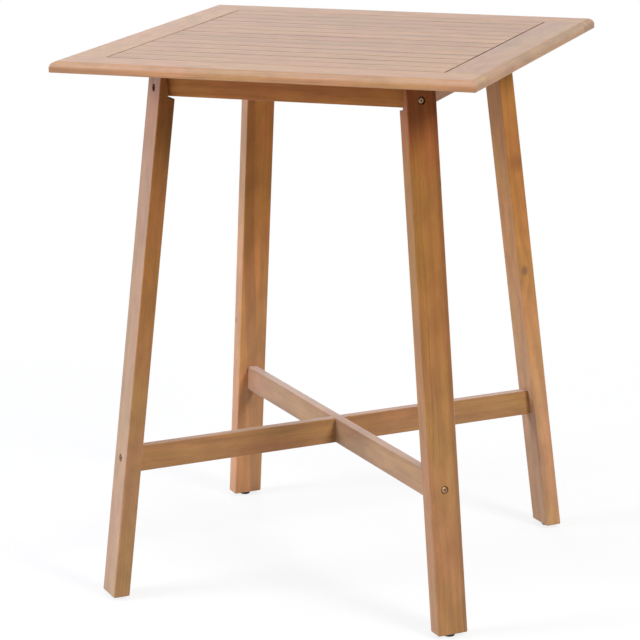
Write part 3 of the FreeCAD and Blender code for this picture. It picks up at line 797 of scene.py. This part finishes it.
def keep(net, geometry, name, kind, feed, domain="POINT"):
    """Store a named attribute on a geometry inside a tree."""
    feeds = {"Geometry": geometry, "Name": name, "Value": feed}
    return net.first("GeometryNodeStoreNamedAttribute", feeds, data_type=kind, domain=domain)


def kept(net, name):
    """A named vector attribute inside a tree."""
    return net.first("GeometryNodeInputNamedAttribute", {"Name": name}, data_type="FLOAT_VECTOR")


def moved(net, geometry, **feeds):
    """A geometry shifted or turned inside a tree."""
    return net.first("GeometryNodeTransform", {"Geometry": geometry, **feeds})


def draw_between(net, kind, low, high, seed):
    """A random number or vector for each instance."""
    made = net.node("FunctionNodeRandomValue", data_type=kind)
    live = [socket for socket in made.inputs if socket.enabled]
    live[0].default_value = low
    live[1].default_value = high
    net.tree.links.new(seed, made.inputs["Seed"])
    return next(socket for socket in made.outputs if socket.enabled)


def slat_body(net, given):
    """One slat along X: a rounded section drawn along a line."""
    section = net.first("GeometryNodeCurvePrimitiveQuadrilateral", {
        "Width": given["Thickness"], "Height": given["Width"]})
    arrised = net.first("GeometryNodeFilletCurve", {
        "Curve": section, "Radius": given["Arris"], "Count": 4}, mode="POLY")
    upright = net.first("GeometryNodeCurvePrimitiveLine", {"End": net.combine(Z=given["Length"])})
    drawn = net.first("GeometryNodeCurveToMesh", {
        "Curve": upright, "Profile Curve": arrised, "Fill Caps": True})
    sunk = net.combine(Z=net.times(given["Length"], -0.5))
    centred = moved(net, drawn, Translation=sunk)
    return moved(net, centred, Rotation=(0, math.pi / 2, 0))


def slat_tongues(net, given):
    """A tongue at each end of a slat, rooted in it."""
    root = 1 * MM
    block = net.first("GeometryNodeMeshCube", {"Size": net.combine(
        X=net.math("ADD", given["Tongue"], root),
        Y=net.math("MULTIPLY_ADD", given["Arris"], -2.0, given["Width"]),
        Z=given["Tongue Thickness"])})
    tip = net.math("MULTIPLY_ADD", given["Length"], 0.5, given["Tongue"])
    ends = net.math("SUBTRACT", tip, net.math("MULTIPLY_ADD", given["Tongue"], 0.5, root / 2))
    places = [net.combine(X=net.times(ends, side)) for side in (-1, 1)]
    return [moved(net, block, Translation=place) for place in places]


def one_slat(net, given):
    """A tongued slat with its own grain, and its long sides marked as seams, which get painted shade
    with dirt.
    """
    joined = net.node("GeometryNodeMeshBoolean", operation="UNION", solver="EXACT")
    for part in (slat_body(net, given), *slat_tongues(net, given)):
        net.tree.links.new(part, joined.inputs["Mesh 2"])
    local = net.first("GeometryNodeInputPosition")
    slat = keep(net, joined.outputs["Mesh"], "grain", "FLOAT_VECTOR", local)
    aside = net.math("ABSOLUTE", net.part(local, "Y"))
    wall = net.times(given["Width"], 0.5)
    seam = net.stretch(aside, net.math("SUBTRACT", wall, given["Arris"]), wall)
    return keep(net, slat, "seam", "FLOAT", seam)


def slat_tree():
    """A row of slats, each an arrised board with a tongue at both ends and its own cut of wood."""
    measures = ("Pitch", "Length", "Width", "Thickness", "Arris", "Tongue", "Tongue Thickness",
                "Level", "Unevenness", "Bleaching")
    net, given = geometry_tree("slat_row", {
        "Count": "Int", **dict.fromkeys(measures, "Float"), "Seed": "Int", "Wood": "Material"})

    # The row, front to back, each slat with its own tone, cut and slight drop.
    last = net.math("SUBTRACT", given["Count"], 1)
    start = net.times(net.times(last, given["Pitch"]), -0.5)
    row = net.first("GeometryNodeMeshLine", {
        "Count": given["Count"], "Start Location": net.combine(Y=start, Z=given["Level"]),
        "Offset": net.combine(Y=given["Pitch"])}, mode="OFFSET")
    slats = net.first("GeometryNodeInstanceOnPoints", {
        "Points": row, "Instance": one_slat(net, given)})
    drop = draw_between(net, "FLOAT", -1.0, 0.0, given["Seed"])
    sink = net.combine(Z=net.times(drop, given["Unevenness"]))
    slats = net.first("GeometryNodeTranslateInstances", {"Instances": slats, "Translation": sink})
    shift = draw_between(net, "FLOAT_VECTOR", (0, 0.02, 0.03), (40, 0.09, 0.09), given["Seed"])
    tone = draw_between(net, "FLOAT", 0.92, 1.06, given["Seed"])
    slats = keep(net, slats, "shift", "FLOAT_VECTOR", shift, "INSTANCE")
    slats = keep(net, slats, "tone", "FLOAT", tone, "INSTANCE")
    plain = net.first("GeometryNodeRealizeInstances", {"Geometry": slats})

    # Each slat's grain runs from its own place in the log.
    grain = net.vector("ADD", kept(net, "grain"), kept(net, "shift"))
    for name, feed in (("grain", grain), ("fibre", X), ("knot", NOWHERE)):
        plain = keep(net, plain, name, "FLOAT_VECTOR", feed)
    for name, feed in (("band", FAR_AWAY), ("bleach", given["Bleaching"])):
        plain = keep(net, plain, name, "FLOAT", feed)
    return finished_tree(net, plain, given["Wood"])


def fastener_tree():
    """One fastener at every point, driven along the point's axis and turned by chance."""
    net, given = geometry_tree("fastener_set", {
        "Shape": "Object", "Seed": "Int", "Metal": "Material"})
    shape = net.node("GeometryNodeObjectInfo", {"Object": given["Shape"]}).outputs["Geometry"]
    aimed = net.first("FunctionNodeAlignRotationToVector", {"Vector": kept(net, "axis")}, axis="Z")
    spin = draw_between(net, "FLOAT", 0.0, 2 * math.pi, given["Seed"])
    turn = net.first("FunctionNodeAxisAngleToRotation", {"Axis": Z, "Angle": spin})
    driven = net.first("FunctionNodeRotateRotation", {
        "Rotation": aimed, "Rotate By": turn}, rotation_space="LOCAL")
    placed = net.first("GeometryNodeInstanceOnPoints", {
        "Points": given["Geometry"], "Instance": shape, "Rotation": driven})
    plain = net.first("GeometryNodeRealizeInstances", {"Geometry": placed})
    return finished_tree(net, plain, given["Metal"])


# Fasteners, read from the frame.

def islands(node):
    """Vertex positions of each separate solid of a frame node."""
    mesh = merged_copy(node)
    places = positions(mesh)
    parent = list(range(len(places)))

    def root(index):
        while parent[index] != index:
            parent[index] = parent[parent[index]]
            index = parent[index]
        return index

    for edge in mesh.edges:
        first, second = (root(index) for index in edge.vertices)
        parent[first] = second
    groups = {}
    for index, place in enumerate(places):
        groups.setdefault(root(index), []).append(place)
    bpy.data.meshes.remove(mesh)
    return [np.array(group) for group in groups.values()]


def fastener_spots(node):
    """Head face, inward axis, length and head radius of every fastener in a frame node."""
    spots = []
    for points in islands(node):
        centre = points.mean(axis=0)
        axis = np.linalg.svd(points - centre, full_matrices=False)[2][0]
        depth = (points - centre) @ axis
        radius = np.linalg.norm(points - centre - np.outer(depth, axis), axis=1)
        if depth[radius.argmax()] > 0:
            axis, depth = -axis, -depth
        spots.append((centre + axis * depth.min(), axis, float(np.ptp(depth)), float(radius.max())))
    return spots


def drive(node, shape_of):
    """Stand detailed fasteners in the place of a frame node's plain ones."""
    spots = fastener_spots(node)
    points = bpy.data.meshes.new(f"{node}_points")
    points.from_pydata([spot[0] for spot in spots], [], [])
    store(points, "axis", [spot[1] for spot in spots])
    length, radius = spots[0][2:]
    pattern = link(f"{node}_pattern", shape_of(length, radius))
    tree = bpy.data.node_groups.get("fastener_set") or fastener_tree()
    feeds = {"Shape": pattern, "Seed": settings().hardware.seed, "Metal": zinc_steel()}
    piece = grow(f"{node}_set", points, tree, feeds)
    bpy.data.objects.remove(pattern)
    return hand_over(piece, "table", "hardware_steel", node)


def bolt_shape(crown, length, radius):
    """A furniture bolt: low domed head, key socket and plain shank, along +Z from its head face."""
    key = settings().hardware.key
    rim, shank = radius * 0.88, 3 * MM
    socket, lip = 3.2 * MM, 0.15 * MM
    head, chamfer, point = 3.2 * MM, 0.2 * MM, 0.8 * MM
    dome = ((0.5, 0.0), (0.72, 0.12), (0.88, 0.4), (0.97, 0.8), (1.0, 1.2))
    rings = [hex_ring(key, crown + socket), hex_ring(key, crown + lip)]
    rings += [ring(rim * share, crown + drop * MM) for share, drop in dome]
    rings += [ring(rim, head - chamfer), ring(rim - chamfer, head), ring(shank, head)]
    rings += [ring(shank, length - point), ring(shank - point, length)]
    return loft("bolt_shape", rings)


def screw_shape(length, radius):
    """A countersunk wood screw with a six-lobed socket, along +Z from its head face."""
    shank, root = radius / 2, 0.78
    turns, start, point = 9, 0.35 * length, 4 * MM
    rings = turned(((1.7, 1.4), (1.9, 0.05)), waves=6, depth=0.6 * MM)
    rings += [ring(2.2 * MM, 0.0), ring(radius - 0.1 * MM, 0.0), ring(radius, 0.15 * MM)]
    rings.append(ring(shank, 2.5 * MM))
    thread = np.linspace(start, length - point, 2 * turns + 1)
    rings += [ring(shank * (root if step % 2 else 1.0), level) for step, level in enumerate(thread)]
    rings.append(ring(0.2 * MM, length))
    return loft("screw_shape", rings)


# Feet.

def stand_at(node, rings, foot, body, slot, material):
    """Stand a turned piece on the axis of its foot."""
    mesh = loft(f"{node}_turned", rings)
    mesh.transform(Matrix.Translation((foot.x, foot.y, 0)))
    mesh.materials.append(material)
    piece = crisp(link(f"{node}_turned", mesh))
    hand_over(piece, body, slot, node)


def pad_rings():
    """Rings of a pad, from the floor of its inner pocket round to its sole."""
    count = 96
    fluted = turned(PAD_FLUTED, waves=24, depth=0.5 * MM, count=count)
    return turned(PAD_INSIDE, count=count) + fluted + turned(PAD_SOLE, count=count)


def stem_rings():
    """Rings of a stem: collar, neck and a helical thread that fades at its ends."""
    count, steps = 32, 10
    core, crest = 3.4 * MM, 4.0 * MM
    low, high = 5.2 * MM, 30.2 * MM
    pitch = settings().hardware.pitch
    rows = int((high - low) / pitch * steps)

    def reach_at(level, fade, angle):
        phase = (level / pitch - angle / (2 * math.pi)) % 1.0
        return core + (crest - core) * fade * (1 - abs(2 * phase - 1))

    rings = turned(STEM_COLLAR, count=count)
    for row in range(rows + 1):
        level = low + (high - low) * row / rows
        fade = min(1.0, row / steps, (rows - row) / steps)
        rings.append(around(level, count, partial(reach_at, level, fade)))
    return rings + turned(STEM_TIP, count=count)


# Stage.

def make_camera(stage):
    """The camera at the view of the photograph."""
    data = bpy.data.cameras.new("camera")
    data.lens = stage.lens
    data.sensor_width = SENSOR
    camera = link("camera", data)
    camera.matrix_world = (
        Matrix.Translation(stage.target)
        @ Matrix.Rotation(stage.azimuth, 4, "Z")
        @ Matrix.Rotation(math.pi / 2 - stage.elevation, 4, "X")
        @ Matrix.Rotation(stage.roll, 4, "Z")
        @ Matrix.Translation((0, 0, stage.distance)))
    bpy.context.scene.camera = camera


def seen_directly(net):
    """1 where the eye, a mirror or a glass looks, and 0 for light."""
    path = net.node("ShaderNodeLightPath").outputs
    mirrored = net.math("MAXIMUM", path["Is Glossy Ray"], path["Is Transmission Ray"])
    return net.math("MAXIMUM", path["Is Camera Ray"], mirrored)


def make_world(stage):
    """White surroundings that light the table from above."""
    world = bpy.data.worlds.new("studio")
    bpy.context.scene.world = world
    world.use_nodes = True
    world.node_tree.nodes.clear()
    net = Net(world.node_tree)
    height = net.part(net.node("ShaderNodeTexCoord").outputs["Generated"], "Z")
    sky = net.times(net.math("MAXIMUM", height, 0.0), stage.ambient)
    strength = net.math("MAXIMUM", sky, seen_directly(net))
    white = net.first("ShaderNodeBackground", {"Color": WHITE, "Strength": strength})
    net.node("ShaderNodeOutputWorld", {"Surface": white})


def make_lamp(name, power, place, size, tint, mirrored):
    """A soft round lamp, aimed at the table's axis at a seventh of the lamp's own height."""
    data = bpy.data.lights.new(name, "AREA")
    data.shape = "DISK"
    data.size = size
    data.energy = power
    data.color = tint
    lamp = link(name, data)
    lamp.location = place
    lamp.visible_glossy = mirrored
    aim = Vector((0, 0, place[2] / 7)) - Vector(place)
    lamp.rotation_euler = aim.to_track_quat("-Z", "Y").to_euler()


def make_floor(stage):
    """A pale floor that runs into the white behind it and keeps a faint shadow."""
    half = stage.floor_size / 2
    mesh = bpy.data.meshes.new("floor")
    corners = [(-half, -half, 0), (half, -half, 0), (half, half, 0), (-half, half, 0)]
    mesh.from_pydata(corners, [], [(0, 1, 2, 3)])
    material, net = new_material("pale_floor")
    seen = seen_directly(net)
    paint = net.blend(seen, colour(stage.floor), WHITE)
    matt = net.first("ShaderNodeBsdfDiffuse", {"Color": paint})
    glow = net.first("ShaderNodeEmission", {"Color": WHITE, "Strength": 1.0})
    near, far, least = 0.7, 2.6, 0.8
    fade = net.stretch(net.vector("LENGTH", net.place()), near, far, least, 1.0)
    mixed = net.first("ShaderNodeMixShader", {0: net.times(seen, fade), 1: matt, 2: glow})
    net.node("ShaderNodeOutputMaterial", {"Surface": mixed})
    mesh.materials.append(material)
    link("floor", mesh)


# Operators, in building order, and their panel.

class Maker:
    """Options that all makers share."""

    bl_options = {"REGISTER", "UNDO"}


class BAR_TABLE_OT_top_border(Maker, Operator):
    """Rails and stiles round the slats."""

    bl_idname = "bar_table.top_border"
    bl_label = "Top border"

    def execute(self, context):
        opening = settings().slats.opening
        for node in ("top_front_rail", "top_back_rail"):
            board(node, X, Y, "top_wood", seam=(1, opening))
        for node in ("top_left_stile", "top_right_stile"):
            board(node, Y, X, "top_wood", seam=(0, opening))
        return {"FINISHED"}


class BAR_TABLE_OT_slats(Maker, Operator):
    """The row of slats."""

    bl_idname = "bar_table.slats"
    bl_label = "Slats"

    def execute(self, context):
        slats = settings().slats
        first, last = middle(SLATS[0]), middle(SLATS[-1])
        low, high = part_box(SLATS[0])
        size = high - low
        feeds = {
            "Count": len(SLATS), "Pitch": (last - first).y / (len(SLATS) - 1),
            "Length": size.x - 2 * slats.tongue, "Width": size.y, "Thickness": size.z,
            "Arris": slats.arris, "Tongue": slats.tongue, "Tongue Thickness": slats.tongue_thickness,
            "Level": first.z, "Unevenness": slats.unevenness, "Seed": slats.seed,
            "Bleaching": settings().wood.top_bleaching, "Wood": hardwood("top_wood"),
        }
        piece = grow("top_slats", bpy.data.meshes.new("slat_start"), slat_tree(), feeds)
        hand_over(piece, "table", "top_wood", *SLATS)
        return {"FINISHED"}


class BAR_TABLE_OT_aprons(Maker, Operator):
    """The ring of aprons under the top."""

    bl_idname = "bar_table.aprons"
    bl_label = "Aprons"

    def execute(self, context):
        for node in ("front_apron", "back_apron"):
            board(node, X, Z)
        for node in ("left_apron", "right_apron"):
            board(node, Y, Z)
        return {"FINISHED"}


class BAR_TABLE_OT_underside(Maker, Operator):
    """Battens and corner blocks, seen from below."""

    bl_idname = "bar_table.underside"
    bl_label = "Underside"

    def execute(self, context):
        for node in ("left_batten", "centre_batten", "right_batten"):
            board(node, Y, X)
        for corner, (side, depth) in CORNERS.items():
            board(f"corner_block_{corner}", (-depth, side, 0), Z)
        return {"FINISHED"}


class BAR_TABLE_OT_legs(Maker, Operator):
    """The four splayed legs, whose fibres run up and in along their diagonals."""

    bl_idname = "bar_table.legs"
    bl_label = "Legs"

    def execute(self, context):
        holes = fastener_spots("leg_bolts") + fastener_spots("stretcher_bolts")
        for corner, (side, depth) in CORNERS.items():
            inward = Vector((-side, -depth, 0)).normalized()
            fibre = Vector(Z) * math.cos(LEG_SPLAY) + inward * math.sin(LEG_SPLAY)
            board(f"leg_{corner}", fibre, (depth, -side, 0), holes=holes)
        return {"FINISHED"}


class BAR_TABLE_OT_stretchers(Maker, Operator):
    """The two halved stretchers."""

    bl_idname = "bar_table.stretchers"
    bl_label = "Stretchers"

    def execute(self, context):
        board("stretcher_upper_lap", (1, -1, 0), Z)
        board("stretcher_lower_lap", (1, 1, 0), Z)
        return {"FINISHED"}


class BAR_TABLE_OT_bolts(Maker, Operator):
    """Bolts at the leg tops and the stretchers, and the inserts and sleeves in the wood."""

    bl_idname = "bar_table.bolts"
    bl_label = "Bolts"

    def execute(self, context):
        for node, crown in BOLT_CROWNS.items():
            drive(node, partial(bolt_shape, crown))
        for node in ("leg_bolt_inserts", "stretcher_bolt_inserts", "foot_sleeves"):
            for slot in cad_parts[node].material_slots:
                slot.material = zinc_steel()
        return {"FINISHED"}


class BAR_TABLE_OT_screws(Maker, Operator):
    """Wood screws of the battens and corner blocks."""

    bl_idname = "bar_table.screws"
    bl_label = "Screws"

    def execute(self, context):
        for node in ("slat_screws", "batten_screws", "corner_block_screws"):
            drive(node, screw_shape)
        return {"FINISHED"}


class BAR_TABLE_OT_feet(Maker, Operator):
    """Fluted pads and threaded stems."""

    bl_idname = "bar_table.feet"
    bl_label = "Feet"

    def execute(self, context):
        for corner in CORNERS:
            pad, stem = f"foot_pad_{corner}", f"foot_stem_{corner}"
            foot = middle(pad)
            stand_at(pad, pad_rings(), foot, f"pad_{corner}", "pad_plastic", black_plastic())
            stand_at(stem, stem_rings(), foot, f"stem_{corner}", "hardware_steel", zinc_steel())
        return {"FINISHED"}


class BAR_TABLE_OT_stage(Maker, Operator):
    """Camera, white surroundings, three soft lamps and a pale floor."""

    bl_idname = "bar_table.stage"
    bl_label = "Stage"

    def execute(self, context):
        stage = settings().stage
        bpy.context.scene.view_settings.view_transform = "Standard"
        make_camera(stage)
        make_world(stage)
        for name, traits in LAMPS.items():
            make_lamp(f"{name}_lamp", getattr(stage, name), *traits)
        make_floor(stage)
        return {"FINISHED"}


OPERATORS = (
    BAR_TABLE_OT_top_border, BAR_TABLE_OT_slats, BAR_TABLE_OT_aprons, BAR_TABLE_OT_underside,
    BAR_TABLE_OT_legs, BAR_TABLE_OT_stretchers, BAR_TABLE_OT_bolts, BAR_TABLE_OT_screws,
    BAR_TABLE_OT_feet, BAR_TABLE_OT_stage)


class BAR_TABLE_PT_makers(Panel):
    """The table's makers, in building order."""

    bl_idname = "BAR_TABLE_PT_makers"
    bl_label = "Bar Table"
    bl_space_type = "VIEW_3D"
    bl_region_type = "UI"
    bl_category = "Bar Table"

    def draw(self, context):
        for operator in OPERATORS:
            self.layout.operator(operator.bl_idname)


CLASSES = (WoodSettings, SlatSettings, HardwareSettings, StageSettings, TableSettings,
           *OPERATORS, BAR_TABLE_PT_makers)


def register():
    """Register the classes and hang the settings on the scene."""
    for item in CLASSES:
        bpy.utils.register_class(item)
    bpy.types.Scene.bar_table = PointerProperty(type=TableSettings)


def unregister():
    """Take the settings off the scene and the classes out again."""
    del bpy.types.Scene.bar_table
    for item in reversed(CLASSES):
        bpy.utils.unregister_class(item)


def main():
    """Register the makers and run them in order."""
    register()
    for operator in OPERATORS:
        name = operator.bl_idname.split(".")[1]
        getattr(bpy.ops.bar_table, name)()


if __name__ == "__main__":
    main()
